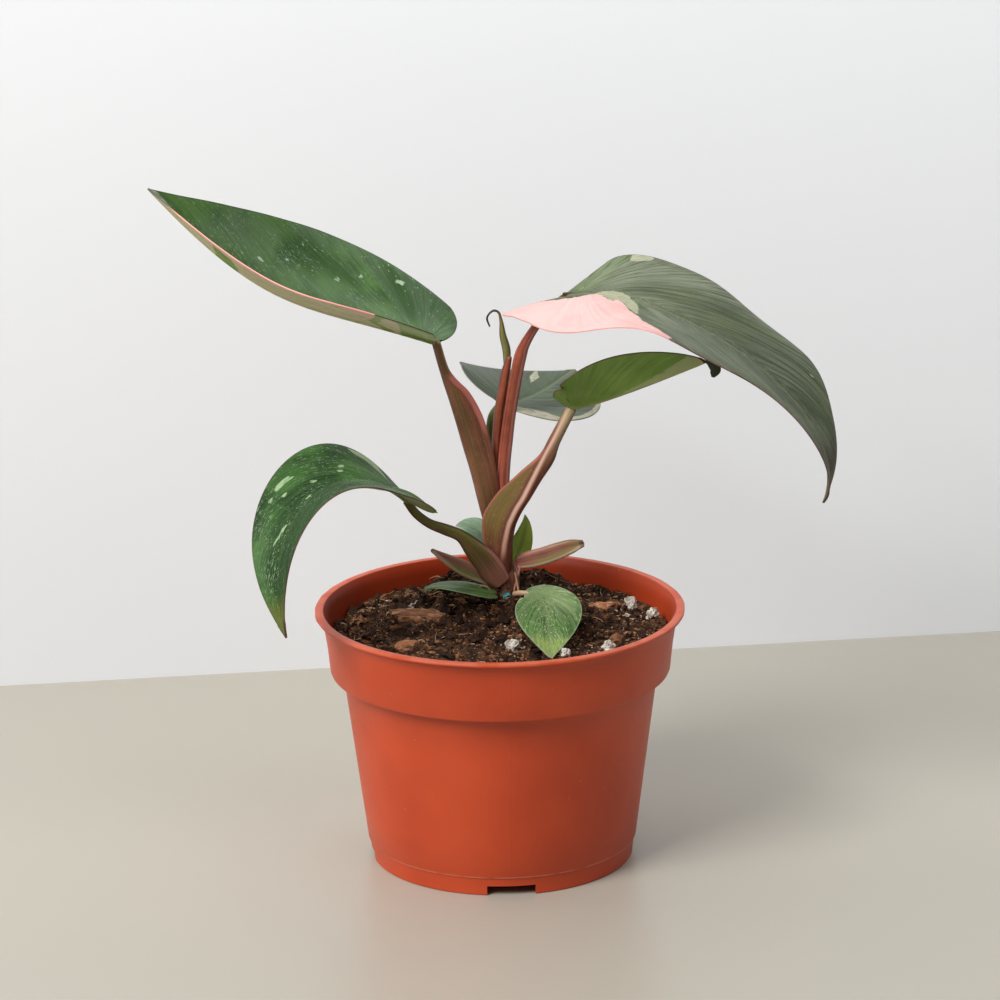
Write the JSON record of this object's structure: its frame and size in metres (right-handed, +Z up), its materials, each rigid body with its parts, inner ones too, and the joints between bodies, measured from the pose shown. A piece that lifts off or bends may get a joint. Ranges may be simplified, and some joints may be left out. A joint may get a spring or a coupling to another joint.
{
  "type": "pink princess philodendron",
  "caption": "Young variegated philodendron, its heart-shaped leaves green, cream and pink, growing in a round terracotta-coloured nursery pot.",
  "frame": {"origin": "the pot's axis where it meets the surface that it stands on", "axes": "+Z up along the pot's axis, -Y to the front, +X to the right as seen from the front, where the large pink leaf reaches"},
  "size_m": [0.1951, 0.1115, 0.1982],
  "materials": {
    "pot": "injection-moulded, terracotta colour, satin",
    "soil": "damp peat and bark potting mix",
    "stem": "smooth plant stem",
    "petiole_red": "smooth, red-brown with a pink stripe",
    "petiole_olive": "smooth, olive green",
    "leaf_scale": "thin and papery",
    "leaf_green": "waxy dark green with cream flecks",
    "leaf_pink": "waxy, half pink and half green",
    "leaf_young": "waxy bright green",
    "bark": "rough bark chip",
    "perlite": "rough, chalky, very light",
    "prill": "smooth coated bead"
  },
  "bodies": {
    "root": {"pot": "pot", "soil": "soil", "stem": "stem", "petiole_b": "petiole_red", "new_leaf_sheath": "petiole_red", "new_leaf": "petiole_olive", "petiole_d": "petiole_olive", "petiole_a": "petiole_red", "petiole_c": "petiole_red", "petiole_e": "petiole_olive", "scale_left": "leaf_scale", "scale_right": "leaf_scale", "petiole_round": "petiole_olive", "blade_a": "leaf_green", "blade_b": "leaf_pink", "blade_c": "leaf_green", "blade_d": "leaf_green", "blade_e": "leaf_green", "blade_round": "leaf_young", "blade_folded": "leaf_green", "blade_behind_left": "leaf_young", "blade_behind_right": "leaf_young", "bark_chip_1": "bark", "bark_chip_2": "bark", "bark_chip_3": "bark", "perlite_grain_1": "perlite", "perlite_grain_2": "perlite", "perlite_grain_3": "perlite", "perlite_grain_4": "perlite", "perlite_grain_5": "perlite", "perlite_grain_6": "perlite", "fertiliser_prill": "prill"}
  },
  "joints": []
}
